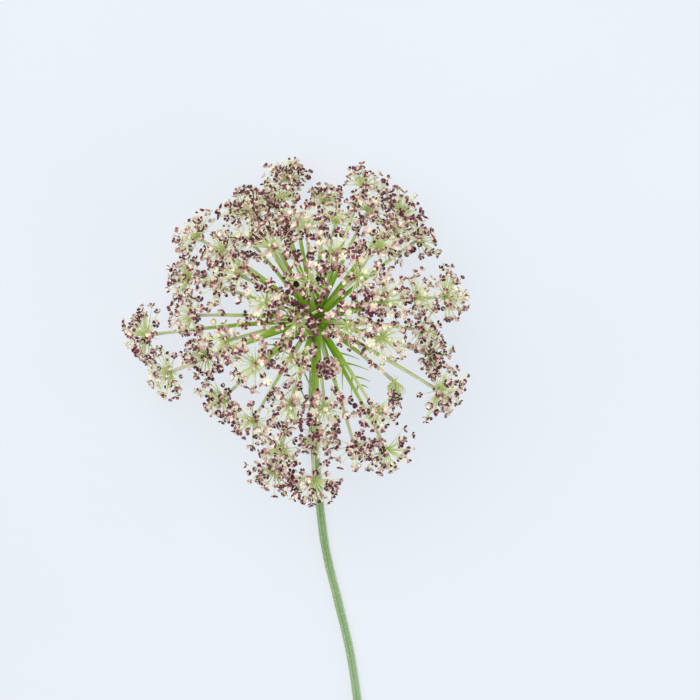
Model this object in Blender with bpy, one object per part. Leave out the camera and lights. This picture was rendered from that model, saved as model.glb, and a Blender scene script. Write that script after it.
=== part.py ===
"""Queen Anne's lace: one cut flower head on its stem, lying on a table.

The head is a dome of small umbels. Its lower rim and the stem rest on the surface at z = 0.
Units are metres, +Z up. +Y runs from the cut end of the stem to the top of the head.
"""

import math
import random

import bmesh
import bpy
from mathutils import Matrix, Vector

MM = 0.001
GAP = 0.3 * MM

HUB = Vector((5.1, 43.4, 25.2)) * MM
HEAD_TILT = math.radians(28.0)
HEAD_AXIS = Vector((0.0, math.sin(HEAD_TILT), math.cos(HEAD_TILT)))

HUB_RADIUS = 2.9 * MM
RAY_ROOT_RADIUS = 0.52 * MM
RAY_TIP_RADIUS = 0.40 * MM
RAY_SIDES = 4
RAY_STEPS = 3
RAY_ARCH = 2.0 * MM

COLLAR_RADIUS = 2.3 * MM
COLLAR_THICKNESS = 0.9 * MM
BRACT_COUNT = 7
BRACT_LENGTH = 21.0 * MM
BRACT_RADIUS = 0.42 * MM
BRACT_LEAN = math.radians(118.0)
BRACT_LOBES = ((0.42, 0.34), (0.66, 0.24))
BRACT_LOBE_ANGLE = math.radians(38.0)

STEM_RADIUS = 1.25 * MM
STEM_NECK_RADIUS = 1.7 * MM
STEM_SIDES = 10
STEM_RINGS = 34
STEM_DROP_BEND = 36.0 * MM
# How the stem sways, as (distance towards -Y from the hub, distance towards +X), in mm.
STEM_SWAY = (
    (0, 0.0), (12, -0.7), (24, -1.2), (40, -0.3), (54, 1.3), (64, 2.9),
    (75, 5.6), (89, 8.9), (102, 10.9), (116, 12.4), (131, 13.6),
)

FLORET_RADIUS = 2.05 * MM
FLORET_DEPTH = 1.15 * MM
FLORET_PETALS = 5
FLORET_CLEFT = 0.62
PEDICEL_RADIUS = 0.45 * MM
CORE_RADIUS = 1.3 * MM
CORE_INRADIUS = 0.795 * CORE_RADIUS
CROWN_RISE = 0.55
LARGE_SPREAD = 6.5

# One small umbel a line: its middle from the hub (x, y, z), its half width, both in mm,
# and how dark its flowers are, from 0 for cream to 1 for maroon.
UMBELLETS = (
    (-12, 34, -5, 6.5, 0.9),
    (-8, 41, -20, 6.5, 0.5),
    (3, 34, -12, 5.5, 0.7),
    (13, 39, -16, 6.5, 0.7),
    (15, 31, -2, 6.0, 0.6),
    (24, 32, -20, 6.5, 0.8),
    (22, 25, 3, 6.5, 1.0),
    (29, 23, -9, 6.5, 0.8),
    (37, 7, -4, 7.0, 0.35),
    (28, 6, 14, 6.0, 0.2),
    (30, -3, 6, 6.0, 0.5),
    (33, -10, -8, 6.5, 0.6),
    (35, -20, 0, 7.5, 0.8),
    (20, -36, 3, 6.5, 0.5),
    (16, -26, 13, 6.0, 0.6),
    (11, -34, 12, 6.0, 0.7),
    (3, -24, 21, 5.5, 0.6),
    (2, -32, 13, 6.0, 0.9),
    (0, -44, 8, 7.5, 0.7),
    (-9, -35, 13, 6.5, 0.8),
    (-11, -42, 2, 6.5, 0.7),
    (-16, -28, 15, 6.0, 0.6),
    (-26, -22, 0, 6.5, 0.6),
    (-31, -10, 7, 7.5, 0.6),
    (-42, -14, -9, 7.5, 0.35),
    (-47, -5, -5, 7.5, 0.5),
    (-34, 1, 8, 6.5, 0.6),
    (-36, 12, -6, 6.5, 0.8),
    (-27, 9, 13, 6.0, 0.7),
    (-20, 12, 22, 5.5, 0.5),
    (-18, 22, 12, 6.0, 0.5),
    (-34, 24, -14, 6.5, 0.35),
    (-26, 20, 0, 6.0, 0.5),
    (-21, 32, -20, 6.5, 0.95),
    (-15, 31, 0, 6.0, 1.0),
    (-9, 27, 11, 6.0, 0.8),
    (-11, 19, 22, 5.5, 0.8),
    (-2, 25, 18, 5.5, 0.5),
    (18, 20, 15, 6.0, 0.6),
    (6, 27, 10, 5.5, 0.7),
    (6, 17, 26, 5.5, 0.4),
    (12, 11, 29, 5.0, 0.3),
    (18, 5, 27, 6.0, 0.2),
    (18, -5, 27, 5.5, 0.2),
    (-1, 9, 32, 4.5, 0.6),
    (9, -2, 33, 4.5, 0.4),
    (-4, -1, 35, 4.5, 0.7),
    (-12, 4, 32, 4.5, 0.5),
    (-5, -10, 32, 4.5, 0.4),
    (-23, -6, 23, 5.5, 0.2),
    (-15, -12, 28, 5.5, 0.2),
    (-6, -23, 23, 5.5, 0.6),
)
# Small umbels that have closed up: one has dried and hangs, one is a dark knot.
CLOSED_UMBELLETS = (
    (22, -17, -9, 3.6, 0.3),
    (4, -13, 28, 3.8, 1.0),
)
EASE_ROUNDS = 60
EASE_SHARE = 0.85
SETTLE_ROUNDS = 30

CREAM = (0.80, 0.74, 0.58)
MAROON = (0.30, 0.06, 0.14)
RAY_GREEN = (0.36, 0.50, 0.16)
BRACT_GREEN = (0.42, 0.52, 0.26)
STEM_GREEN = (0.30, 0.44, 0.17)


def clear_scene():
    """Take out every object that the file opened with."""
    for existing in list(bpy.data.objects):
        bpy.data.objects.remove(existing)


def principled(name, colour, roughness):
    """Return a plain material for one sub-part."""
    material = bpy.data.materials.new(name)
    material.use_nodes = True
    shader = material.node_tree.nodes["Principled BSDF"]
    shader.inputs["Base Color"].default_value = (*colour, 1.0)
    shader.inputs["Roughness"].default_value = roughness
    shader.inputs["Metallic"].default_value = 0.0
    return material


def blend(a, b, share):
    """Mix two colours."""
    return tuple(p + (q - p) * share for p, q in zip(a, b))


def add_object(name, bm, material=None, collection=None):
    """Turn a bmesh into an object with outward faces."""
    bmesh.ops.recalc_face_normals(bm, faces=bm.faces)
    mesh = bpy.data.meshes.new(name)
    bm.to_mesh(mesh)
    bm.free()
    made = bpy.data.objects.new(name, mesh)
    (collection or bpy.context.scene.collection).objects.link(made)
    if material:
        mesh.materials.append(material)
    return made


def fuse(name, pieces, material):
    """Join closed pieces that cross each other into one closed body."""
    gathered = bpy.data.collections.new(name + "_pieces")
    bpy.context.scene.collection.children.link(gathered)
    core = add_object(name, pieces[0], material)
    for bm in pieces[1:]:
        add_object(name + "_piece", bm, collection=gathered)
    union = core.modifiers.new("union", "BOOLEAN")
    union.operation = "UNION"
    union.operand_type = "COLLECTION"
    union.collection = gathered
    union.solver = "MANIFOLD"
    evaluated = core.evaluated_get(bpy.context.evaluated_depsgraph_get())
    joined = bpy.data.meshes.new_from_object(evaluated)
    core.modifiers.clear()
    core.data = joined
    for piece in list(gathered.objects):
        bpy.data.objects.remove(piece)
    bpy.data.collections.remove(gathered)
    return core


def tube(points, radii, sides):
    """Sweep a ring along points, with flat ends."""
    bm = bmesh.new()
    last = len(points) - 1
    side = (points[1] - points[0]).orthogonal().normalized()
    rings = []
    for index, (point, radius) in enumerate(zip(points, radii)):
        along = (points[min(index + 1, last)] - points[max(index - 1, 0)]).normalized()
        side = (side - along * side.dot(along)).normalized()
        across = along.cross(side)
        ring = []
        for step in range(sides):
            turn = math.tau * step / sides
            ring.append(bm.verts.new(point + radius * (math.cos(turn) * side + math.sin(turn) * across)))
        rings.append(ring)
    for lower, upper in zip(rings, rings[1:]):
        for step in range(sides):
            following = (step + 1) % sides
            bm.faces.new((lower[step], lower[following], upper[following], upper[step]))
    bm.faces.new(reversed(rings[0]))
    bm.faces.new(rings[-1])
    return bm


def smooth_path(stations, count):
    """Read count points from a smooth curve through the stations, evenly by parameter."""
    padded = [stations[0] * 2 - stations[1], *stations, stations[-1] * 2 - stations[-2]]
    spans = len(stations) - 1
    path = []
    for step in range(count):
        place = step / (count - 1) * spans
        span = min(int(place), spans - 1)
        t = place - span
        a, b, c, d = padded[span:span + 4]
        path.append(0.5 * (2 * b + (c - a) * t + (2 * a - 5 * b + 4 * c - d) * t * t + (3 * b - a - 3 * c + d) * t ** 3))
    return path


def stem_sway(reach):
    """Return how far to +X the stem lies, at a distance towards -Y from the hub."""
    reach_mm = reach / MM
    for (near, near_x), (far, far_x) in zip(STEM_SWAY, STEM_SWAY[1:]):
        if reach_mm <= far:
            return (near_x + (far_x - near_x) * (reach_mm - near) / (far - near)) * MM
    return STEM_SWAY[-1][1] * MM


def stem_stations():
    """List the stem's middle line from under the hub to its cut end."""
    down = -HEAD_AXIS
    top = HUB + down * (HUB_RADIUS * 0.62 + GAP + COLLAR_THICKNESS + GAP)
    steepness = math.pi / 2 - HEAD_TILT
    bend_drop = STEM_DROP_BEND * (1 - math.cos(steepness))
    straight = (top.z - STEM_RADIUS - bend_drop) / math.sin(steepness)
    bend_start = top + down * straight
    line = [top, top + down * straight * 0.5]
    for step in range(6):
        angle = steepness * (1 - step / 5)
        forward = STEM_DROP_BEND * (math.sin(steepness) - math.sin(angle))
        height = bend_start.z - STEM_DROP_BEND * (math.cos(angle) - math.cos(steepness))
        line.append(Vector((HUB.x, bend_start.y - forward, height)))
    lies_from = HUB.y - line[-1].y + STEM_DROP_BEND * 0.2
    for reach_mm, _ in STEM_SWAY:
        if reach_mm * MM > lies_from:
            line.append(Vector((HUB.x, HUB.y - reach_mm * MM, STEM_RADIUS)))
    for station in line:
        station.x += stem_sway(HUB.y - station.y)
    return line


def make_stem():
    """Make the stem: a flared neck under the collar, a bend down to the table, then a lying run."""
    path = smooth_path(stem_stations(), STEM_RINGS)
    for point in path:
        point.z = max(point.z, STEM_RADIUS)
    radii = []
    for index in range(len(path)):
        flare = max(0.0, 1.0 - index / 3.0)
        radii.append(STEM_RADIUS + (STEM_NECK_RADIUS - STEM_RADIUS) * flare)
    return add_object("stem", tube(path, radii, STEM_SIDES), principled("stem", STEM_GREEN, 0.6))


def place_umbellets():
    """Return (direction, distance, half width, dark, closed) of each small umbel, eased apart."""
    rows = [(*row, False) for row in UMBELLETS] + [(*row, True) for row in CLOSED_UMBELLETS]
    middles = [Vector(row[:3]) * MM for row in rows]
    reaches = [middle.length for middle in middles]
    ways = [middle.normalized() for middle in middles]
    wants = [row[3] * MM / reach for row, reach in zip(rows, reaches)]
    for _ in range(EASE_ROUNDS):
        for i in range(len(ways)):
            for j in range(i):
                between = ways[i].angle(ways[j])
                short = EASE_SHARE * (wants[i] + wants[j]) - between
                if short > 0:
                    apart = (ways[i] - ways[j]).normalized() * short * 0.25
                    ways[i] = (ways[i] + apart).normalized()
                    ways[j] = (ways[j] - apart).normalized()
    return [(way, reach, row[3] * MM, row[4], row[5]) for way, reach, row in zip(ways, reaches, rows)]


def core_centre(way, reach, spread):
    """Return the middle of the knot that a small umbel's stalks grow from."""
    return HUB + way * (reach - CROWN_RISE * spread)


def make_rays(placed):
    """Make the knot at the top of the stem and every ray that grows from it, as one body."""
    knot = bmesh.new()
    bmesh.ops.create_icosphere(knot, subdivisions=2, radius=HUB_RADIUS)
    turn = Vector((0, 0, 1)).rotation_difference(HEAD_AXIS).to_matrix().to_4x4()
    flatten = Matrix.Diagonal((1.0, 1.0, 0.62, 1.0))
    bmesh.ops.transform(knot, matrix=Matrix.Translation(HUB) @ turn @ flatten, verts=knot.verts)
    pieces = [knot]
    for way, reach, spread, _dark, _closed in placed:
        tip = core_centre(way, reach, spread) - way * (CORE_INRADIUS + GAP)
        outward = math.sin(way.angle(HEAD_AXIS))
        bow = HUB + way * (tip - HUB).length * 0.5 + HEAD_AXIS * RAY_ARCH * outward
        points = []
        radii = []
        for step in range(RAY_STEPS + 1):
            t = step / RAY_STEPS
            points.append(HUB * (1 - t) ** 2 + bow * 2 * t * (1 - t) + tip * t * t)
            radii.append(RAY_ROOT_RADIUS + (RAY_TIP_RADIUS - RAY_ROOT_RADIUS) * t)
        pieces.append(tube(points, radii, RAY_SIDES))
    return fuse("umbel_rays", pieces, principled("umbel_rays", RAY_GREEN, 0.55))


def make_bracts():
    """Make the collar of thread-like divided bracts between the stem and the rays."""
    turn = Vector((0, 0, 1)).rotation_difference(HEAD_AXIS).to_matrix()
    middle = HUB - HEAD_AXIS * (HUB_RADIUS * 0.62 + GAP + COLLAR_THICKNESS / 2)
    collar = bmesh.new()
    bmesh.ops.create_cone(collar, cap_ends=True, segments=12, radius1=COLLAR_RADIUS * 0.9,
                          radius2=COLLAR_RADIUS, depth=COLLAR_THICKNESS)
    bmesh.ops.transform(collar, matrix=Matrix.Translation(middle) @ turn.to_4x4(), verts=collar.verts)
    pieces = [collar]
    draw = random.Random(7)
    for index in range(BRACT_COUNT):
        around = math.tau * (index + draw.uniform(-0.15, 0.15)) / BRACT_COUNT
        lean = BRACT_LEAN + draw.uniform(-0.08, 0.10)
        length = BRACT_LENGTH * draw.uniform(0.82, 1.0)
        flat = turn @ Vector((math.cos(around), math.sin(around), 0))
        out = flat * math.sin(lean) + HEAD_AXIS * math.cos(lean)
        sideways = HEAD_AXIS.cross(flat).normalized()
        root = middle + flat * COLLAR_RADIUS * 0.5
        knee = root + flat * 3.0 * MM
        end = root + out * length
        rib = [root, knee, (knee + end) / 2 + flat * 0.8 * MM, end]
        pieces.append(tube(rib, [BRACT_RADIUS] * 3 + [BRACT_RADIUS * 0.85], 3))
        for along, reach in BRACT_LOBES:
            start = knee + (end - knee) * along + flat * 0.8 * MM * (1 - abs(2 * along - 1))
            for hand in (-1, 1):
                away = out * math.cos(BRACT_LOBE_ANGLE) + sideways * hand * math.sin(BRACT_LOBE_ANGLE)
                pieces.append(tube([start, start + away * length * reach], [BRACT_RADIUS, BRACT_RADIUS * 0.8], 3))
    return fuse("involucre_bracts", pieces, principled("involucre_bracts", BRACT_GREEN, 0.6))


def half_size(facing, towards, radius):
    """Return how far a floret of this radius reaches from its middle in one direction."""
    tilt = abs(facing.dot(towards))
    return radius * math.sqrt(max(0.0, 1 - tilt * tilt)) + FLORET_DEPTH * 0.5 * tilt


def settle_florets(ends, facings, radius, walls, centre):
    """Move floret middles into the umbel's own room, above the table and off each other."""
    up = Vector((0, 0, 1))
    for _ in range(SETTLE_ROUNDS):
        for i in range(len(ends)):
            for j in range(i):
                apart = ends[i] - ends[j]
                short = 1.86 * radius - apart.length
                if short > 0:
                    push = apart.normalized() * short * 0.5
                    ends[i] = ends[i] + push
                    ends[j] = ends[j] - push
        for i, facing in enumerate(facings):
            for wall in walls:
                short = half_size(facing, wall, radius) + GAP * 0.6 - (ends[i] - HUB).dot(wall)
                if short > 0:
                    ends[i] = ends[i] + wall * short
            short = half_size(facing, up, radius) - ends[i].z
            if short > 0:
                ends[i] = ends[i] + up * short
            nearest = CORE_RADIUS + FLORET_DEPTH + 0.8 * MM
            arm = ends[i] - centre
            if arm.length < nearest:
                ends[i] = centre + arm.normalized() * nearest
    return ends


def raise_floret(bm, face, middle, facing, radius):
    """Grow one face of the knot into a stalk and a cupped five-petalled floret."""
    base = middle - facing * FLORET_DEPTH * 0.5
    side = facing.orthogonal().normalized()
    across = facing.cross(side)
    grown = bmesh.ops.extrude_discrete_faces(bm, faces=[face])["faces"][0]
    heart = grown.calc_center_median()
    start = grown.verts[0].co - heart
    start = (start - facing * start.dot(facing)).normalized()
    turned = math.atan2(start.dot(across), start.dot(side))
    hand = 1 if grown.normal.dot(facing) > 0 else -1
    for index, vert in enumerate(grown.verts):
        turn = turned + hand * math.tau * index / 3
        vert.co = base + PEDICEL_RADIUS * (math.cos(turn) * side + math.sin(turn) * across)
    corners = list(grown.verts)
    bm.faces.remove(grown)
    ring = []
    points = 2 * FLORET_PETALS
    for step in range(points):
        turn = turned + hand * math.tau * step / points
        is_tip = step % 2 == 0
        out = radius * (1.0 if is_tip else FLORET_CLEFT)
        rise = FLORET_DEPTH * (1.0 if is_tip else 0.72)
        ring.append(bm.verts.new(base + facing * rise + out * (math.cos(turn) * side + math.sin(turn) * across)))
    heart_top = bm.verts.new(base + facing * FLORET_DEPTH * 0.66)
    for step in range(points):
        following = (step + 1) % points
        bm.faces.new((ring[step], ring[following], heart_top))
    owner = [round(step * 3 / points) % 3 for step in range(points)]
    for step in range(points):
        following = (step + 1) % points
        bm.faces.new((corners[owner[step]], ring[following], ring[step]))
        if owner[step] != owner[following]:
            bm.faces.new((corners[owner[step]], corners[owner[following]], ring[following]))


def make_umbellet(number, placed):
    """Make one small umbel: a knot, its stalks and their florets, grown as one body."""
    way, reach, spread, dark, closed = placed[number]
    draw = random.Random(100 + number)
    centre = core_centre(way, reach, spread)
    walls = [(way - other[0]).normalized() for index, other in enumerate(placed)
             if index != number and way.angle(other[0]) < 1.2]
    bm = bmesh.new()
    bmesh.ops.create_icosphere(bm, subdivisions=1, radius=CORE_RADIUS)
    bm.normal_update()
    top = max(bm.faces, key=lambda face: face.normal.z)
    upright = top.normal.rotation_difference(Vector((0, 0, 1))).to_matrix().to_4x4()
    spin = Matrix.Rotation(draw.uniform(0, math.tau), 4, "Z")
    bmesh.ops.transform(bm, matrix=spin @ upright, verts=bm.verts)
    bm.normal_update()
    is_large = spread / MM >= LARGE_SPREAD
    chosen = [face for face in bm.faces if face.normal.z > 0.2]
    if not is_large:
        outer = sorted((face for face in chosen if face.normal.z < 0.5),
                       key=lambda face: math.atan2(face.normal.y, face.normal.x))
        chosen = [face for face in chosen if face.normal.z > 0.5] + outer[::2]
    aim = Vector((0, 0, 1)).rotation_difference(way).to_matrix()
    radius = FLORET_RADIUS * (0.55 if closed else 1.0)
    ends = []
    facings = []
    for face in chosen:
        lean = math.acos(min(1.0, face.normal.z)) * (0.42 if closed else 0.96)
        around = math.atan2(face.normal.y, face.normal.x) + draw.uniform(-0.10, 0.10)
        local = Vector((math.sin(lean) * math.cos(around), math.sin(lean) * math.sin(around), math.cos(lean)))
        arm = aim @ local
        length = (spread - 0.4 * radius) * (0.84 + 0.22 * math.sin(lean)) * draw.uniform(0.94, 1.04)
        ends.append(centre + arm * length)
        facings.append((arm * 0.8 + way * 0.2).normalized())
    ends = settle_florets(ends, facings, radius, walls, centre)
    place = Matrix.Translation(centre) @ aim.to_4x4()
    bmesh.ops.transform(bm, matrix=place, verts=bm.verts)
    for face, end, facing in zip(chosen, ends, facings):
        raise_floret(bm, face, end, facing, radius)
    colour = blend(CREAM, MAROON, 0.15 + 0.6 * dark)
    name = f"umbellet_{number + 1:02d}"
    return add_object(name, bm, principled(name, colour, 0.65))


def main():
    """Build the whole cut flower."""
    clear_scene()
    placed = place_umbellets()
    make_stem()
    make_bracts()
    make_rays(placed)
    for number in range(len(placed)):
        make_umbellet(number, placed)


main()
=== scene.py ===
"""Looks of a cut Queen Anne's lace flower lying on a pale table, seen from above.

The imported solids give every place. Each of them is replaced by a finer piece of the same form.
Lengths are metres, with MM to write them in millimetres.
"""

import logging
import math
import random
from dataclasses import dataclass, field
from enum import Enum
from typing import Optional

import bmesh
import bpy
from mathutils import Matrix, Vector

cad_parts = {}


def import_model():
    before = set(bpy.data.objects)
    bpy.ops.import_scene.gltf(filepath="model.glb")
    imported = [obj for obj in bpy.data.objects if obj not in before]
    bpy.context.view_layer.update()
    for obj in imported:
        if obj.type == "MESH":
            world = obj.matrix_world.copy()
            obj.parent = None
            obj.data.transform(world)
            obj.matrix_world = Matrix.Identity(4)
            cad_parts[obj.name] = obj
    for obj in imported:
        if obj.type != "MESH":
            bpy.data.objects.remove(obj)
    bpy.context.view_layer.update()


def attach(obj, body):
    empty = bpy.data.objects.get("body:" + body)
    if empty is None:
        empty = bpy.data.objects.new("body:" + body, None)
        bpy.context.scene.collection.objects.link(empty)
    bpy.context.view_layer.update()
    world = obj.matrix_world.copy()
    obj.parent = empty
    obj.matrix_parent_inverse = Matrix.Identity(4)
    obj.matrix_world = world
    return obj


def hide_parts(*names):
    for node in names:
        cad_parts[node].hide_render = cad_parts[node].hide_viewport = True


MM = 0.001
UP = Vector((0.0, 0.0, 1.0))

# The knot at the top of the stem, where the rays start, and the way that the head faces.
HUB = Vector((5.1, 43.4, 25.2)) * MM
HUB_RADIUS = 2.9 * MM
HUB_FLATNESS = 0.62
HEAD_TILT = math.radians(28.0)
HEAD_AXIS = Vector((0.0, math.sin(HEAD_TILT), math.cos(HEAD_TILT)))
COLLAR_THICKNESS = 0.9 * MM

# How far apart neighbouring solids stand.
GAP = 0.3 * MM
# How far a small umbel's own knot lies back from its place, as a share of the umbel's half width.
KNOT_SETBACK = 0.55
# Faces that meet more steeply than this keep a sharp edge.
SHARP_ANGLE = math.radians(50.0)

# One small umbel a line: its middle from the hub (x, y, z), its half width, both in mm,
# and how dark its flowers are, from 0 for cream to 1 for maroon.
UMBELLETS = (
    (-12, 34, -5, 6.5, 0.9), (-8, 41, -20, 6.5, 0.5), (3, 34, -12, 5.5, 0.7), (13, 39, -16, 6.5, 0.7),
    (15, 31, -2, 6.0, 0.6), (24, 32, -20, 6.5, 0.8), (22, 25, 3, 6.5, 1.0), (29, 23, -9, 6.5, 0.8),
    (37, 7, -4, 7.0, 0.35), (28, 6, 14, 6.0, 0.2), (30, -3, 6, 6.0, 0.5), (33, -10, -8, 6.5, 0.6),
    (35, -20, 0, 7.5, 0.8), (20, -36, 3, 6.5, 0.5), (16, -26, 13, 6.0, 0.6), (11, -34, 12, 6.0, 0.7),
    (3, -24, 21, 5.5, 0.6), (2, -32, 13, 6.0, 0.9), (0, -44, 8, 7.5, 0.7), (-9, -35, 13, 6.5, 0.8),
    (-11, -42, 2, 6.5, 0.7), (-16, -28, 15, 6.0, 0.6), (-26, -22, 0, 6.5, 0.6), (-31, -10, 7, 7.5, 0.6),
    (-42, -14, -9, 7.5, 0.35), (-47, -5, -5, 7.5, 0.5), (-34, 1, 8, 6.5, 0.6), (-36, 12, -6, 6.5, 0.8),
    (-27, 9, 13, 6.0, 0.7), (-20, 12, 22, 5.5, 0.5), (-18, 22, 12, 6.0, 0.5), (-34, 24, -14, 6.5, 0.35),
    (-26, 20, 0, 6.0, 0.5), (-21, 32, -20, 6.5, 0.95), (-15, 31, 0, 6.0, 1.0), (-9, 27, 11, 6.0, 0.8),
    (-11, 19, 22, 5.5, 0.8), (-2, 25, 18, 5.5, 0.5), (18, 20, 15, 6.0, 0.6), (6, 27, 10, 5.5, 0.7),
    (6, 17, 26, 5.5, 0.4), (12, 11, 29, 5.0, 0.3), (18, 5, 27, 6.0, 0.2), (18, -5, 27, 5.5, 0.2),
    (-1, 9, 32, 4.5, 0.6), (9, -2, 33, 4.5, 0.4), (-4, -1, 35, 4.5, 0.7), (-12, 4, 32, 4.5, 0.5),
    (-5, -10, 32, 4.5, 0.4), (-23, -6, 23, 5.5, 0.2), (-15, -12, 28, 5.5, 0.2), (-6, -23, 23, 5.5, 0.6),
)
# Small umbels that have closed up: one has dried and hangs, one is a dark knot.
CLOSED_UMBELLETS = (
    (22, -17, -9, 3.6, 0.3),
    (4, -13, 28, 3.8, 1.0),
)
# How the stem sways, as (distance towards -Y from the hub, distance towards +X), in mm.
STEM_SWAY = (
    (0, 0.0), (12, -0.7), (24, -1.2), (40, -0.3), (54, 1.3), (64, 2.9),
    (75, 5.6), (89, 8.9), (102, 10.9), (116, 12.4), (131, 13.6),
)

# Where single near-black florets stand over the hub, as (x, y, z) from the hub in mm.
DARK_SPOTS = ((-5.6, 5.9, 36.0), (-4.2, 3.1, 36.0), (-5.1, -0.6, 36.0), (1.5, 9.0, 35.5), (-3.7, 7.8, 34.5))

Colour = tuple[float, float, float]

MAROON: Colour = (0.190, 0.024, 0.060)
PLUM: Colour = (0.078, 0.012, 0.026)
ROSE: Colour = (0.48, 0.26, 0.24)
LILAC: Colour = (0.77, 0.63, 0.55)
CREAM: Colour = (0.82, 0.80, 0.58)
PALE_GREEN: Colour = (0.72, 0.75, 0.46)
CREAM_GREEN: Colour = (0.62, 0.69, 0.32)
SPRING_GREEN: Colour = (0.52, 0.62, 0.17)
LIME: Colour = (0.33, 0.49, 0.035)
HUB_GREEN: Colour = (0.24, 0.43, 0.012)
LEAF_GREEN: Colour = (0.10, 0.25, 0.008)
GREY_ROSE: Colour = (0.62, 0.56, 0.46)
STEM_PALE: Colour = (0.17, 0.29, 0.085)
STEM_GREY: Colour = (0.20, 0.30, 0.17)
STEM_GREEN: Colour = (0.08, 0.19, 0.035)
BRISTLE_PALE: Colour = (0.78, 0.78, 0.68)
DRIED: Colour = (0.42, 0.44, 0.22)
NUT_BROWN: Colour = (0.16, 0.10, 0.05)
NEAR_BLACK: Colour = (0.016, 0.006, 0.008)

log = logging.getLogger("queen_annes_lace")


class FloretKind(Enum):
    """The states that a floret can be in."""

    OPEN = "open"
    CUPPED = "cupped"
    BUD = "bud"
    SEED = "seed"


class Skin(Enum):
    """Which of a piece's finishes a face wears."""

    MAIN = 0
    STALK = 1


class Layer(Enum):
    """Names of the numbers kept at each point of a mesh."""

    BLUSH = "blush"
    ALONG = "along"
    TONE = "tone"


@dataclass(frozen=True)
class Site:
    """Where one small umbel grows, and its character."""

    name: str
    way: Vector
    reach: float
    spread: float
    dark: float
    closed: bool

    @property
    def centre(self) -> Vector:
        """Middle of the knot that the stalks grow from."""
        return HUB + self.way * (self.reach - KNOT_SETBACK * self.spread)


def rgba(colour: Colour) -> tuple[float, float, float, float]:
    """Return a colour with full alpha."""
    return (*colour, 1.0)


def set_inputs(node: bpy.types.Node, values: dict[str, object]) -> None:
    """Set sockets of a shader node, each by its name."""
    for name, value in values.items():
        node.inputs[name].default_value = value


def add_math(nodes: bpy.types.Nodes, operation: str, values: dict[int, float]) -> bpy.types.Node:
    """Add a math node.

    Args:
        nodes: The nodes that receive it.
        operation: What it works out.
        values: The inputs that no link gives, by their places.

    Returns:
        The new node.
    """
    node = nodes.new("ShaderNodeMath")
    node.operation = operation
    for place, value in values.items():
        node.inputs[place].default_value = value
    return node


def add_mix(tree: bpy.types.NodeTree, share: bpy.types.NodeSocket,
            first: bpy.types.NodeSocket) -> bpy.types.Node:
    """Add a node that mixes a second colour into a first one.

    Args:
        tree: The node tree that receives it.
        share: The socket that gives the second colour's share.
        first: The socket that gives the first colour.

    Returns:
        The new node. Its input B is still to be set.
    """
    mixed = tree.nodes.new("ShaderNodeMix")
    mixed.data_type = "RGBA"
    tree.links.new(share, mixed.inputs["Factor"])
    tree.links.new(first, mixed.inputs["A"])
    return mixed


class TissueGroup:
    """Shader node group that mottles plant tissue between two colours and gives its grain."""

    NAME = "plant_tissue"
    SOCKETS = (
        ("INPUT", "NodeSocketColor", ("Light", "Deep")),
        ("INPUT", "NodeSocketFloat", ("Share", "Blotch Scale", "Grain Scale", "Mottle")),
        ("OUTPUT", "NodeSocketColor", ("Colour",)),
        ("OUTPUT", "NodeSocketFloat", ("Height", "Roughness")),
    )
    BLOTCH_DETAIL = 2.0
    GRAIN_DETAIL = 3.0
    SMOOTHEST = 0.42
    ROUGHEST = 0.72

    @classmethod
    def get(cls) -> bpy.types.NodeTree:
        """Return the group, built on first use.

        Returns:
            The shader node tree.
        """
        found = bpy.data.node_groups.get(cls.NAME)
        if found:
            return found
        tree = bpy.data.node_groups.new(cls.NAME, "ShaderNodeTree")
        for way, kind, labels in cls.SOCKETS:
            for label in labels:
                tree.interface.new_socket(name=label, in_out=way, socket_type=kind)
        nodes, links = tree.nodes, tree.links
        given = nodes.new("NodeGroupInput")
        wanted = nodes.new("NodeGroupOutput")
        place = nodes.new("ShaderNodeTexCoord")
        noises = []
        for label, detail in (("Blotch Scale", cls.BLOTCH_DETAIL), ("Grain Scale", cls.GRAIN_DETAIL)):
            noise = nodes.new("ShaderNodeTexNoise")
            set_inputs(noise, {"Detail": detail})
            links.new(place.outputs["Object"], noise.inputs["Vector"])
            links.new(given.outputs[label], noise.inputs["Scale"])
            noises.append(noise)
        blotch, grain = noises
        centred = add_math(nodes, "SUBTRACT", {1: 0.5})
        links.new(blotch.outputs["Fac"], centred.inputs[0])
        swing = add_math(nodes, "MULTIPLY_ADD", {})
        swing.use_clamp = True
        links.new(centred.outputs[0], swing.inputs[0])
        links.new(given.outputs["Mottle"], swing.inputs[1])
        links.new(given.outputs["Share"], swing.inputs[2])
        mixed = add_mix(tree, swing.outputs[0], given.outputs["Light"])
        links.new(given.outputs["Deep"], mixed.inputs["B"])
        rough = nodes.new("ShaderNodeMapRange")
        set_inputs(rough, {"To Min": cls.SMOOTHEST, "To Max": cls.ROUGHEST})
        links.new(grain.outputs["Fac"], rough.inputs["Value"])
        links.new(mixed.outputs["Result"], wanted.inputs["Colour"])
        links.new(grain.outputs["Fac"], wanted.inputs["Height"])
        links.new(rough.outputs["Result"], wanted.inputs["Roughness"])
        return tree


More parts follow.
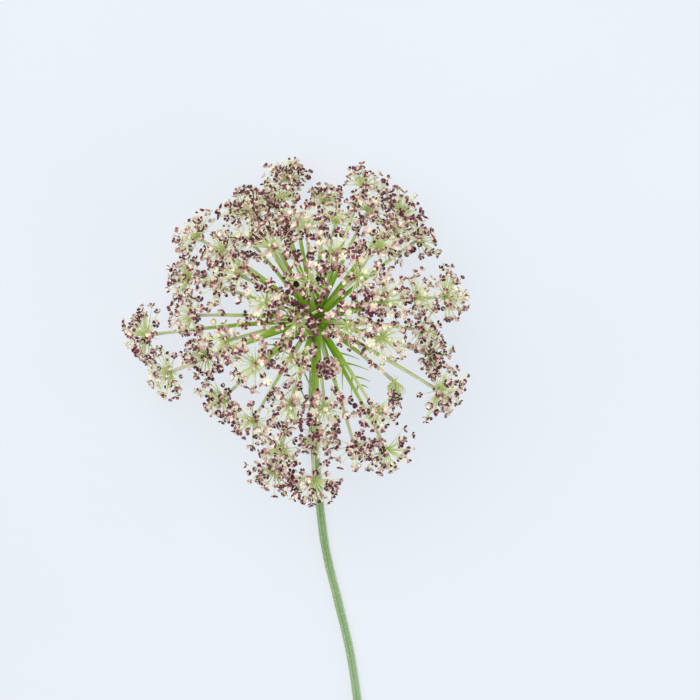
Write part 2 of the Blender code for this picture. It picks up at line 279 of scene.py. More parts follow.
@dataclass(frozen=True)
class Finish:
    """A plant surface: a ramp of colours read by one number of the mesh, mottled more as its tone rises."""

    name: str
    ramp: tuple[tuple[float, Colour], ...]
    deep: Colour
    driver: Layer
    mottle: float = 0.5
    blotch_scale: float = 260.0
    grain_scale: float = 2600.0
    bump: float = 0.25
    sheen: float = 0.03
    subsurface: float = 0.1
    deep_share: float = 0.15
    # How far a painted sheen pales the colour towards the outline.
    rim: float = 0.0

    TONE_SHARE = 0.35
    RIM_SHEEN_BLEND = 0.35
    RELIEF = 0.05 * MM
    SHEEN_ROUGHNESS = 0.5
    GLOW_REACH = (1.0, 0.8, 0.35)
    GLOW_DEPTH = 0.5 * MM
    GLOSS = 0.22

    def attribute(self, nodes: bpy.types.Nodes, layer: Layer) -> bpy.types.NodeSocket:
        """Read one of the numbers kept at each point of the mesh.

        Args:
            nodes: The material's nodes.
            layer: Which number is read.

        Returns:
            The socket that gives it.
        """
        reader = nodes.new("ShaderNodeAttribute")
        reader.attribute_type = "GEOMETRY"
        reader.attribute_name = layer.value
        return reader.outputs["Fac"]

    def painted_rim_sheen(self, tree: bpy.types.NodeTree, colour: bpy.types.NodeSocket) -> bpy.types.NodeSocket:
        """Paint a pale sheen into the colour towards the outline, standing in for the light that short hairs
        catch edge on.

        Args:
            tree: The material's node tree.
            colour: The socket that gives the tissue's colour.

        Returns:
            The socket that gives the colour to use.
        """
        if self.rim == 0.0:
            return colour
        # Painted sheen: the colour pales towards the outline, read from the layer weight's facing.
        weight = tree.nodes.new("ShaderNodeLayerWeight")
        set_inputs(weight, {"Blend": self.RIM_SHEEN_BLEND})
        amount = add_math(tree.nodes, "MULTIPLY", {1: self.rim})
        tree.links.new(weight.outputs["Facing"], amount.inputs[0])
        mixed = add_mix(tree, amount.outputs[0], colour)
        set_inputs(mixed, {"B": rgba(BRISTLE_PALE)})
        return mixed.outputs["Result"]

    def build(self) -> bpy.types.Material:
        """Make the material.

        Returns:
            The finished material, built once and shared by its pieces.
        """
        found = bpy.data.materials.get(self.name)
        if found:
            return found
        material = bpy.data.materials.new(self.name)
        material.use_nodes = True
        tree = material.node_tree
        nodes, links = tree.nodes, tree.links
        shader = nodes["Principled BSDF"]
        ramp = nodes.new("ShaderNodeValToRGB")
        elements = ramp.color_ramp.elements
        elements[0].position, elements[1].position = self.ramp[0][0], self.ramp[-1][0]
        elements[0].color, elements[1].color = rgba(self.ramp[0][1]), rgba(self.ramp[-1][1])
        for position, colour in self.ramp[1:-1]:
            elements.new(position).color = rgba(colour)
        links.new(self.attribute(nodes, self.driver), ramp.inputs["Fac"])
        share = add_math(nodes, "MULTIPLY_ADD", {1: self.TONE_SHARE, 2: self.deep_share})
        links.new(self.attribute(nodes, Layer.TONE), share.inputs[0])
        tissue = nodes.new("ShaderNodeGroup")
        tissue.node_tree = TissueGroup.get()
        set_inputs(tissue, {"Deep": rgba(self.deep), "Blotch Scale": self.blotch_scale,
                            "Grain Scale": self.grain_scale, "Mottle": self.mottle})
        links.new(ramp.outputs["Color"], tissue.inputs["Light"])
        links.new(share.outputs[0], tissue.inputs["Share"])
        bump = nodes.new("ShaderNodeBump")
        set_inputs(bump, {"Strength": self.bump, "Distance": self.RELIEF})
        links.new(tissue.outputs["Height"], bump.inputs["Height"])
        links.new(self.painted_rim_sheen(tree, tissue.outputs["Colour"]), shader.inputs["Base Color"])
        links.new(tissue.outputs["Roughness"], shader.inputs["Roughness"])
        links.new(bump.outputs["Normal"], shader.inputs["Normal"])
        set_inputs(shader, {"Sheen Weight": self.sheen, "Sheen Roughness": self.SHEEN_ROUGHNESS,
                            "Subsurface Weight": self.subsurface, "Subsurface Radius": self.GLOW_REACH,
                            "Subsurface Scale": self.GLOW_DEPTH, "Specular IOR Level": self.GLOSS})
        return material


PETAL = Finish(
    "petal",
    ((0.0, PALE_GREEN), (0.24, CREAM), (0.40, LILAC), (0.54, ROSE), (0.68, MAROON), (0.88, PLUM),
     (1.0, NEAR_BLACK)),
    ROSE, Layer.BLUSH, mottle=0.25, deep_share=0.0)
STALK = Finish(
    "stalk", ((0.0, SPRING_GREEN), (0.25, CREAM_GREEN), (1.0, CREAM)),
    LIME, Layer.ALONG, mottle=0.25, deep_share=0.0)
RAY = Finish(
    "ray", ((0.0, HUB_GREEN), (0.28, HUB_GREEN), (0.46, LIME), (0.72, CREAM_GREEN), (1.0, GREY_ROSE)),
    LEAF_GREEN, Layer.ALONG, mottle=0.4, deep_share=0.0)
BRACT = Finish(
    "bract", ((0.0, HUB_GREEN), (0.6, LIME), (1.0, CREAM_GREEN)),
    LEAF_GREEN, Layer.ALONG, mottle=0.5, deep_share=0.05)
# The stem's pale outline is a painted sheen.
STEM = Finish(
    "stem_tissue", ((0.0, LIME), (0.12, STEM_PALE), (0.5, STEM_PALE), (1.0, STEM_GREY)),
    STEM_GREEN, Layer.ALONG, mottle=0.6, deep_share=0.15, blotch_scale=140.0, sheen=0.2, rim=0.85)
BRISTLE = Finish(
    "bristle", ((0.0, BRISTLE_PALE), (1.0, CREAM)),
    STEM_PALE, Layer.ALONG, mottle=0.4, deep_share=0.1)
WITHERED = Finish(
    "withered", ((0.0, DRIED), (0.30, DRIED), (0.50, NUT_BROWN), (0.75, NEAR_BLACK), (1.0, NEAR_BLACK)),
    NUT_BROWN, Layer.BLUSH, mottle=0.8, deep_share=0.1)


def layer_of(bm: bmesh.types.BMesh, layer: Layer) -> bmesh.types.BMLayerItem:
    """Return the point layer of this name, made when it is missing."""
    return bm.verts.layers.float.get(layer.value) or bm.verts.layers.float.new(layer.value)


def new_bmesh() -> bmesh.types.BMesh:
    """Start a mesh that has every layer.

    Returns:
        The empty bmesh.
    """
    bm = bmesh.new()
    for layer in Layer:
        layer_of(bm, layer)
    return bm


def frame_at(place: Vector, along: Vector, side: Vector) -> Matrix:
    """Work out the frame of one section of a stalk.

    Args:
        place: Its middle.
        along: The way that the stalk runs, which its Z follows.
        side: The way that its X keeps near to.

    Returns:
        The frame's matrix.
    """
    z = along.normalized()
    x = (side - z * side.dot(z)).normalized()
    y = z.cross(x)
    turned = Matrix((x, y, z)).transposed().to_4x4()
    return Matrix.Translation(place) @ turned


def aim_at(place: Vector, along: Vector, spin: float = 0.0) -> Matrix:
    """Return the matrix that stands a +Z shape at a place along a direction, spun about it."""
    turned = UP.rotation_difference(along).to_matrix().to_4x4()
    return Matrix.Translation(place) @ turned @ Matrix.Rotation(spin, 4, "Z")


def sweep(bm: bmesh.types.BMesh, path: list[Vector], radii: list[float], sides: int,
          along: tuple[float, float] = (0.0, 1.0), tone: float = 0.0, ridge: float = 0.0,
          skin: Skin = Skin.MAIN) -> None:
    """Draw a closed tapering stalk along a path by extruding its end cap.

    Args:
        bm: The mesh that receives the stalk.
        path: The middle line.
        radii: One radius for each point of the path.
        sides: How many corners the section has.
        along: The values of the along layer at the two ends.
        tone: The value of the tone layer.
        ridge: How deep every second corner is drawn in, as a share of the radius. It has a deeper tone.
        skin: Which of the piece's finishes the stalk wears.
    """
    along_layer = layer_of(bm, Layer.ALONG)
    tone_layer = layer_of(bm, Layer.TONE)
    last = len(path) - 1
    side = (path[1] - path[0]).orthogonal()
    frames = []
    for index, place in enumerate(path):
        heading = path[min(index + 1, last)] - path[max(index - 1, 0)]
        frame = frame_at(place, heading, side)
        side = frame.to_3x3() @ Vector((1.0, 0.0, 0.0))
        frames.append(frame @ Matrix.Diagonal((radii[index], radii[index], 1.0, 1.0)))
    rod = bmesh.ops.create_cone(bm, cap_ends=True, segments=sides, radius1=1.0, radius2=1.0,
                                depth=1.0)["verts"]
    ends = ([vert for vert in rod if vert.co.z < 0.0], [vert for vert in rod if vert.co.z > 0.0])
    cap = next(face for face in ends[1][0].link_faces if all(vert.co.z > 0.0 for vert in face.verts))
    for face in {face for vert in rod for face in vert.link_faces}:
        face.material_index = skin.value
    for index, ring in enumerate(ends):
        for vert in ring:
            corner = round(math.atan2(vert.co.y, vert.co.x) / math.tau * sides)
            is_groove = ridge > 0.0 and corner % 2 == 1
            reach = 1.0 - ridge if is_groove else 1.0
            vert.co = frames[index] @ Vector((vert.co.x * reach, vert.co.y * reach, 0.0))
            vert[along_layer] = along[0] + (along[1] - along[0]) * index / last
            vert[tone_layer] = tone + (1.0 if is_groove else 0.0)
    for index in range(2, len(path)):
        cap = bmesh.ops.extrude_discrete_faces(bm, faces=[cap])["faces"][0]
        step = frames[index] @ frames[index - 1].inverted()
        for vert in cap.verts:
            vert.co = step @ vert.co
            vert[along_layer] = along[0] + (along[1] - along[0]) * index / last


def stray(draw: random.Random, size: float) -> Vector:
    """Return a small random offset, up to size each way."""
    return Vector((draw.uniform(-size, size), draw.uniform(-size, size), draw.uniform(-size, size)))


def arc_path(start: Vector, bow: Vector, end: Vector, steps: int) -> list[Vector]:
    """Draw a parabola from start to end.

    Args:
        start: Its first point.
        bow: The point that it leaves start towards, and comes to end from.
        end: Its last point.
        steps: How many steps it is read in.

    Returns:
        The points along it.
    """
    path = []
    for step in range(steps + 1):
        t = step / steps
        path.append(start * (1 - t) ** 2 + bow * 2 * t * (1 - t) + end * t * t)
    return path


def smooth_path(stations: list[Vector], count: int) -> list[Vector]:
    """Draw a smooth curve through the stations.

    Args:
        stations: The points that it passes through.
        count: How many points are read from it, evenly from station to station.

    Returns:
        The points along it.
    """
    padded = [stations[0] * 2 - stations[1], *stations, stations[-1] * 2 - stations[-2]]
    spans = len(stations) - 1
    path = []
    for step in range(count):
        place = step / (count - 1) * spans
        span = min(int(place), spans - 1)
        t = place - span
        a, b, c, d = padded[span:span + 4]
        curve = 2 * b + (c - a) * t + (2 * a - 5 * b + 4 * c - d) * t * t + (3 * b - a - 3 * c + d) * t ** 3
        path.append(curve * 0.5)
    return path


def hair_ways(draw: random.Random, path: list[Vector], index: int) -> tuple[Vector, Vector]:
    """Choose the side of a stalk that a hair stands on.

    Args:
        draw: Source of random numbers.
        path: The stalk's middle line.
        index: The point of the line that the hair stands by.

    Returns:
        The way that the stalk runs there, and the way straight out of it to the hair.
    """
    heading = (path[index + 1] - path[index - 1]).normalized()
    turn = Matrix.Rotation(draw.uniform(0, math.tau), 3, heading)
    return heading, turn @ heading.orthogonal().normalized()


def add_object(name: str, data: bpy.types.ID) -> bpy.types.Object:
    """Put a new object into the scene.

    Args:
        name: Its name.
        data: The mesh, light or camera that it holds.

    Returns:
        The new object.
    """
    made = bpy.data.objects.new(name, data)
    bpy.context.scene.collection.objects.link(made)
    return made


def finish_piece(name: str, bm: bmesh.types.BMesh, finishes: list[Finish], nodes: list[str]) -> bpy.types.Object:
    """Turn a bmesh into a piece that rides on the part and stands for CAD nodes.

    Args:
        name: The piece's name.
        bm: Its mesh, used up here.
        finishes: One finish for each material index.
        nodes: The CAD nodes that it replaces.

    Returns:
        The new object.
    """
    bmesh.ops.recalc_face_normals(bm, faces=bm.faces)
    mesh = bpy.data.meshes.new(name)
    open_edges = sum(1 for edge in bm.edges if not edge.is_manifold)
    bm.to_mesh(mesh)
    bm.free()
    mesh.shade_smooth()
    mesh.set_sharp_from_angle(angle=SHARP_ANGLE)
    for finish in finishes:
        mesh.materials.append(finish.build())
    piece = add_object(name, mesh)
    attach(piece, "root")
    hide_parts(*nodes)
    log.info("%s: %d faces, %d open edges", name, len(mesh.polygons), open_edges)
    return piece


@dataclass
class Dome:
    """The layout of the flower head, shared by its rays and its small umbels."""

    ease_rounds: int = 60
    ease_share: float = 0.85
    ease_step: float = 0.25
    neighbour_angle: float = 1.2
    sites: list[Site] = field(default_factory=list)

    def build(self) -> None:
        """Place every small umbel and ease apart those that would crowd."""
        rows = [(*row, False) for row in UMBELLETS] + [(*row, True) for row in CLOSED_UMBELLETS]
        middles = [Vector(row[:3]) * MM for row in rows]
        reaches = [middle.length for middle in middles]
        ways = [middle.normalized() for middle in middles]
        wants = [row[3] * MM / reach for row, reach in zip(rows, reaches)]
        for _ in range(self.ease_rounds):
            for i in range(len(ways)):
                for j in range(i):
                    short = self.ease_share * (wants[i] + wants[j]) - ways[i].angle(ways[j])
                    if short > 0:
                        apart = (ways[i] - ways[j]).normalized() * short * self.ease_step
                        ways[i] = (ways[i] + apart).normalized()
                        ways[j] = (ways[j] - apart).normalized()
        for index, (way, reach, row) in enumerate(zip(ways, reaches, rows)):
            self.sites.append(Site(f"umbellet_{index + 1:02d}", way, reach, row[3] * MM, row[4], row[5]))

    def walls(self, site: Site) -> list[Vector]:
        """Return the directions of the planes through the hub that bound one umbel's room."""
        return [(site.way - other.way).normalized() for other in self.sites
                if other is not site and site.way.angle(other.way) < self.neighbour_angle]


@dataclass
class Stem:
    """The ridged, bristly stem, from its neck under the head to its cut end."""

    radius: float = 1.18 * MM
    neck_radius: float = 1.6 * MM
    neck_rings: int = 10
    unevenness: float = 0.02
    rest: float = 1.25 * MM
    bend_radius: float = 36.0 * MM
    bend_points: int = 6
    sides: int = 20
    rings: int = 110
    ridge: float = 0.12
    hairs: int = 1500
    hair_length: float = 0.8 * MM
    hair_radii: tuple[float, float] = (0.05 * MM, 0.012 * MM)
    hair_lowest: float = 0.15 * MM
    seed: int = 31

    def sway(self, reach: float) -> float:
        """Read the stem's sway from its table.

        Args:
            reach: A distance towards -Y from the hub.

        Returns:
            How far to +X the stem lies there.
        """
        reach_mm = reach / MM
        for (near, near_x), (far, far_x) in zip(STEM_SWAY, STEM_SWAY[1:]):
            if reach_mm <= far:
                return (near_x + (far_x - near_x) * (reach_mm - near) / (far - near)) * MM
        return STEM_SWAY[-1][1] * MM

    def path(self) -> list[Vector]:
        """Draw the stem's middle line: straight under the head, then a bend, then along the table.

        Returns:
            Its points, from the neck to the cut end.
        """
        down = -HEAD_AXIS
        top = HUB + down * (HUB_RADIUS * HUB_FLATNESS + GAP + COLLAR_THICKNESS + GAP)
        steepness = math.pi / 2 - HEAD_TILT
        drop = self.bend_radius * (1 - math.cos(steepness))
        straight = (top.z - self.rest - drop) / math.sin(steepness)
        bend_start = top + down * straight
        line = [top, top + down * straight * 0.5]
        for step in range(self.bend_points):
            angle = steepness * (1 - step / (self.bend_points - 1))
            forward = self.bend_radius * (math.sin(steepness) - math.sin(angle))
            height = bend_start.z - self.bend_radius * (math.cos(angle) - math.cos(steepness))
            line.append(Vector((HUB.x, bend_start.y - forward, height)))
        lies_from = HUB.y - line[-1].y + self.bend_radius * 0.2
        for reach_mm, _ in STEM_SWAY:
            if reach_mm * MM > lies_from:
                line.append(Vector((HUB.x, HUB.y - reach_mm * MM, self.rest)))
        for station in line:
            station.x += self.sway(HUB.y - station.y)
        path = smooth_path(line, self.rings)
        for point in path:
            point.z = max(point.z, self.rest)
        return path

    def build(self) -> bpy.types.Object:
        """Model the stem with its ridges and bristles.

        Returns:
            The finished piece.
        """
        bm = new_bmesh()
        path = self.path()
        radii = []
        for index in range(len(path)):
            flare = max(0.0, 1.0 - index / self.neck_rings) ** 2
            wave = 1.0 + self.unevenness * math.sin(index * 0.9)
            radii.append((self.radius + (self.neck_radius - self.radius) * flare) * wave)
        sweep(bm, path, radii, self.sides, ridge=self.ridge)
        draw = random.Random(self.seed)
        for _ in range(self.hairs):
            index = draw.randrange(1, len(path) - 1)
            heading, around = hair_ways(draw, path, index)
            start = path[index] + heading * draw.uniform(-0.6, 0.6) * MM + around * radii[index] * 0.9
            lean = (around + heading * draw.uniform(-0.2, 0.9)).normalized()
            end = start + lean * self.hair_length * draw.uniform(0.5, 1.0)
            if end.z >= self.hair_lowest:
                sweep(bm, [start, end], list(self.hair_radii), 3, along=(0.2, 0.6), skin=Skin.STALK)
        return finish_piece("stem_skin", bm, [STEM, BRISTLE], ["stem"])


@dataclass
class RaySpray:
    """The knot at the top of the stem and the rays that spread from it."""

    dome: Dome
    root_radius: float = 0.78 * MM
    tip_radius: float = 0.42 * MM
    tip_swell: float = 0.12 * MM
    tip_setback: float = 0.5 * MM
    taper: float = 1.6
    arch: float = 2.0 * MM
    ridge: float = 0.16
    sides: int = 10
    steps: int = 10
    hairs_per_ray: int = 9
    hair_radii: tuple[float, float] = (0.04 * MM, 0.01 * MM)
    seed: int = 47

    def ray_path(self, site: Site) -> list[Vector]:
        """Draw the middle line of one ray, which arches a little over the hub.

        Args:
            site: The small umbel that it carries.

        Returns:
            Its points, from the hub to the umbel.
        """
        tip = site.centre - site.way * (self.tip_setback + GAP)
        outward = math.sin(site.way.angle(HEAD_AXIS))
        bow = HUB + site.way * (tip - HUB).length * 0.5 + HEAD_AXIS * self.arch * outward
        return arc_path(HUB, bow, tip, self.steps)

    def radius_at(self, t: float) -> float:
        """Return a ray's radius at a share of its length: it tapers, and swells again at its tip."""
        swell = self.tip_swell * max(0.0, t - 0.9) * 10
        return self.tip_radius + (self.root_radius - self.tip_radius) * (1.0 - t) ** self.taper + swell

    def build(self) -> bpy.types.Object:
        """Model the knot, all the rays and their hairs.

        Returns:
            The finished piece.
        """
        bm = new_bmesh()
        knot = bmesh.ops.create_uvsphere(bm, u_segments=24, v_segments=12, radius=HUB_RADIUS)["verts"]
        flatten = Matrix.Diagonal((1.0, 1.0, HUB_FLATNESS, 1.0))
        bmesh.ops.transform(bm, matrix=aim_at(HUB, HEAD_AXIS) @ flatten, verts=knot)
        draw = random.Random(self.seed)
        radii = [self.radius_at(step / self.steps) for step in range(self.steps + 1)]
        for site in self.dome.sites:
            path = self.ray_path(site)
            sweep(bm, path, radii, self.sides, tone=draw.uniform(-0.3, 0.5), ridge=self.ridge)
            for _ in range(self.hairs_per_ray):
                index = draw.randrange(2, self.steps)
                heading, around = hair_ways(draw, path, index)
                start = path[index] + heading * draw.uniform(-1.5, 1.5) * MM + around * radii[index] * 0.85
                end = start + (around + heading * 0.5).normalized() * draw.uniform(0.25, 0.5) * MM
                sweep(bm, [start, end], list(self.hair_radii), 3, along=(0.8, 0.8), tone=-0.5)
        return finish_piece("ray_spray", bm, [RAY], ["umbel_rays"])


@dataclass
class BractCollar:
    """The collar of thread-like divided bracts under the rays."""

    count: int = 7
    length: float = 21.0 * MM
    radius: float = 0.40 * MM
    lean: float = math.radians(118.0)
    knee_reach: float = 3.0 * MM
    rib_points: int = 12
    lobe_steps: int = 6
    collar_radius: float = 2.3 * MM
    edge_radius: float = 0.12 * MM
    lobes: tuple[tuple[float, float], ...] = ((0.26, 0.30), (0.42, 0.34), (0.66, 0.24), (0.82, 0.14))
    lobe_angle: float = math.radians(38.0)
    sides: int = 6
    ridge: float = 0.2
    seed: int = 7

    def build(self) -> bpy.types.Object:
        """Model the collar and its bracts.

        Returns:
            The finished piece.
        """
        bm = new_bmesh()
        turn = UP.rotation_difference(HEAD_AXIS).to_matrix()
        middle = HUB - HEAD_AXIS * (HUB_RADIUS * HUB_FLATNESS + GAP + COLLAR_THICKNESS / 2)
        collar = bmesh.ops.create_cone(bm, cap_ends=True, segments=28, radius1=self.collar_radius * 0.9,
                                       radius2=self.collar_radius, depth=COLLAR_THICKNESS)["verts"]
        bmesh.ops.transform(bm, matrix=Matrix.Translation(middle) @ turn.to_4x4(), verts=collar)
        rim = list({edge for vert in collar for edge in vert.link_edges})
        bmesh.ops.bevel(bm, geom=rim, offset=self.edge_radius, segments=2, affect="EDGES", profile=0.5,
                        material=-1)
        draw = random.Random(self.seed)
        for index in range(self.count):
            around = math.tau * (index + draw.uniform(-0.15, 0.15)) / self.count
            lean = self.lean + draw.uniform(-0.08, 0.10)
            length = self.length * draw.uniform(0.82, 1.0)
            flat = turn @ Vector((math.cos(around), math.sin(around), 0))
            out = flat * math.sin(lean) + HEAD_AXIS * math.cos(lean)
            root = middle + flat * self.collar_radius * 0.5
            self.bract(bm, root, flat, out, length)
        return finish_piece("bract_collar", bm, [BRACT], ["involucre_bracts"])

    def bract(self, bm: bmesh.types.BMesh, root: Vector, flat: Vector, out: Vector, length: float) -> None:
        """Add one bract: a bowed rib with a pair of thin lobes at each of several places.

        Args:
            bm: The collar's mesh.
            root: Where it grows from the collar.
            flat: The way straight out of the collar.
            out: The way that it points.
            length: Its length from root to tip.
        """
        sideways = HEAD_AXIS.cross(flat).normalized()
        knee = root + flat * self.knee_reach
        end = root + out * length
        rib = smooth_path([root, knee, (knee + end) / 2 + flat * 0.8 * MM, end], self.rib_points)
        last = self.rib_points - 1
        radii = [self.radius * (1.0 - 0.75 * step / last) for step in range(self.rib_points)]
        sweep(bm, rib, radii, self.sides, ridge=self.ridge)
        steps = self.lobe_steps
        radii = [self.radius * (0.75 - 0.5 * step / steps) for step in range(steps + 1)]
        for share, reach in self.lobes:
            start = knee + (end - knee) * share + flat * 0.8 * MM * (1 - abs(2 * share - 1))
            for hand in (-1, 1):
                away = out * math.cos(self.lobe_angle) + sideways * hand * math.sin(self.lobe_angle)
                bow = start + away * length * reach * 0.5 + sideways * hand * 0.5 * MM
                lobe = arc_path(start, bow, start + away * length * reach, steps)
                sweep(bm, lobe, radii, self.sides, along=(0.4, 1.0), ridge=self.ridge)


@dataclass(frozen=True)
class Bloom:
    """The form and colouring of one state of floret, in mm.

    The profile gives how far out and how high each row of a petal lies, from its root to its tip.
    """

    profile: tuple[tuple[float, float], ...] = ()
    half_widths: tuple[float, ...] = ()
    blushes: tuple[float, ...] = ()
    bristles: int = 0
    has_styles: bool = True


BLOOMS = {
    FloretKind.OPEN: Bloom(((0.20, 0.02), (0.66, 0.16), (0.94, 0.54)), (0.10, 0.36, 0.31),
                           (1.0, 0.95, 0.68, 0.42, 0.90)),
    FloretKind.CUPPED: Bloom(((0.18, 0.02), (0.58, 0.32), (0.58, 0.82)), (0.10, 0.37, 0.27),
                             (1.0, 0.62, 0.95, 0.42, 0.90)),
    FloretKind.BUD: Bloom(((0.14, 0.0), (0.42, 0.32), (0.10, 0.74)), (0.10, 0.28, 0.10),
                          (0.95, 0.88, 0.66, 0.90, 0.76), bristles=4, has_styles=False),
    FloretKind.SEED: Bloom(bristles=8),
}


@dataclass(frozen=True)
class Spike:
    """A small tapering solid of a floret, in mm."""

    sides: int
    foot_radius: float
    top_radius: float
    length: float

    def add(self, bm: bmesh.types.BMesh, place: Matrix) -> None:
        """Add it along the Z of a place, with its middle there."""
        bmesh.ops.create_cone(bm, cap_ends=True, segments=self.sides, radius1=self.foot_radius * MM,
                              radius2=self.top_radius * MM, depth=self.length * MM, matrix=place)


@dataclass
class FloretPattern:
    """One floret on its seed cup, with the petals, heart and bristles that its state has."""

    kind: FloretKind
    mesh: Optional[bpy.types.Mesh] = None

    PETALS = 5
    THICKNESS = 0.09 * MM
    ROW_BLUSH = (0.42, 0.84, 1.0)
    BACK_BLUSH = (0.50, 0.90, 1.0)
    HEART_BLUSH = 0.20
    CUP = Spike(6, 0.13, 0.27, 0.62)
    CUP_BRISTLE = Spike(3, 0.06, 0.0, 0.42)
    CUSHION = Spike(6, 0.30, 0.12, 0.20)
    STYLE = Spike(3, 0.08, 0.04, 0.46)

    @property
    def bloom(self) -> Bloom:
        """The form of this kind of floret."""
        return BLOOMS[self.kind]

    def petal(self, bm: bmesh.types.BMesh, index: int) -> None:
        """Add one petal, as a curled and thickened patch.

        Args:
            bm: The floret's mesh.
            index: Which of the petals it is.
        """
        blush = layer_of(bm, Layer.BLUSH)
        bloom = self.bloom
        sheet = bmesh.ops.create_grid(bm, x_segments=1, y_segments=2, size=0.5)["verts"]
        for vert in sheet:
            row = round((vert.co.y + 0.5) * 2)
            out, rise = bloom.profile[row]
            vert.co = Vector((out, vert.co.x * 2 * bloom.half_widths[row], rise)) * MM
            vert[blush] = self.ROW_BLUSH[row] * bloom.blushes[index]
        bm.normal_update()
        faces = list({face for vert in sheet for face in vert.link_faces})
        known = set(bm.verts)
        bmesh.ops.solidify(bm, geom=faces, thickness=self.THICKNESS)
        backs = [vert for vert in bm.verts if vert not in known]
        for vert in backs:
            nearest = min(range(3), key=lambda row: abs(vert.co.z / MM - bloom.profile[row][1]))
            vert[blush] = self.BACK_BLUSH[nearest] * bloom.blushes[index]
        turn = Matrix.Rotation(math.tau * index / self.PETALS, 4, "Z")
        bmesh.ops.transform(bm, matrix=turn, verts=sheet + backs)

    def seed_cup(self, bm: bmesh.types.BMesh, draw: random.Random) -> None:
        """Add the seed cup under the petals, with its bristles.

        Args:
            bm: The floret's mesh.
            draw: Source of random numbers.
        """
        along = layer_of(bm, Layer.ALONG)
        known = set(bm.verts)
        self.CUP.add(bm, Matrix.Translation((0.0, 0.0, -0.27 * MM)))
        for index in range(self.bloom.bristles):
            angle = math.tau * index / self.bloom.bristles + draw.uniform(-0.2, 0.2)
            out = Vector((math.cos(angle), math.sin(angle), draw.uniform(-0.4, 0.5))).normalized()
            foot = Vector((out.x * 0.30, out.y * 0.30, draw.uniform(-0.40, -0.10))) * MM
            self.CUP_BRISTLE.add(bm, aim_at(foot, out))
        for vert in bm.verts:
            if vert not in known:
                vert[along] = 0.8
                for face in vert.link_faces:
                    face.material_index = Skin.STALK.value

    def heart(self, bm: bmesh.types.BMesh, draw: random.Random) -> None:
        """Add the cushion in the middle of the floret and its two styles.

        Args:
            bm: The floret's mesh.
            draw: Source of random numbers.
        """
        blush = layer_of(bm, Layer.BLUSH)
        known = set(bm.verts)
        self.CUSHION.add(bm, Matrix.Translation((0.0, 0.0, 0.12 * MM)))
        for hand in (-1, 1):
            lean = Vector((hand * 0.6, draw.uniform(-0.2, 0.2), 1.0)).normalized()
            middle = Vector((hand * 0.14, 0.0, 0.34)) * MM
            self.STYLE.add(bm, aim_at(middle, lean))
        for vert in bm.verts:
            if vert not in known:
                vert[blush] = self.HEART_BLUSH

    def build(self) -> "FloretPattern":
        """Model the floret around +Z, with its petals' roots at the origin.

        Returns:
            The pattern itself, with its mesh made.
        """
        bm = new_bmesh()
        draw = random.Random(len(self.kind.value))
        for index in range(len(self.bloom.blushes)):
            self.petal(bm, index)
        self.seed_cup(bm, draw)
        if self.bloom.has_styles:
            self.heart(bm, draw)
        bmesh.ops.recalc_face_normals(bm, faces=bm.faces)
        self.mesh = bpy.data.meshes.new("floret_" + self.kind.value)
        bm.to_mesh(self.mesh)
        bm.free()
        return self


# The chances of each state of floret, as rising limits: in the dark knot, in the middle of an open
# umbel, and at its rim.
KNOT_CHANCES = ((0.6, FloretKind.CUPPED), (1.0, FloretKind.BUD))
MIDDLE_CHANCES = ((0.5, FloretKind.SEED), (0.8, FloretKind.CUPPED), (1.0, FloretKind.BUD))
RIM_CHANCES = ((0.55, FloretKind.OPEN), (0.85, FloretKind.CUPPED), (1.0, FloretKind.BUD))


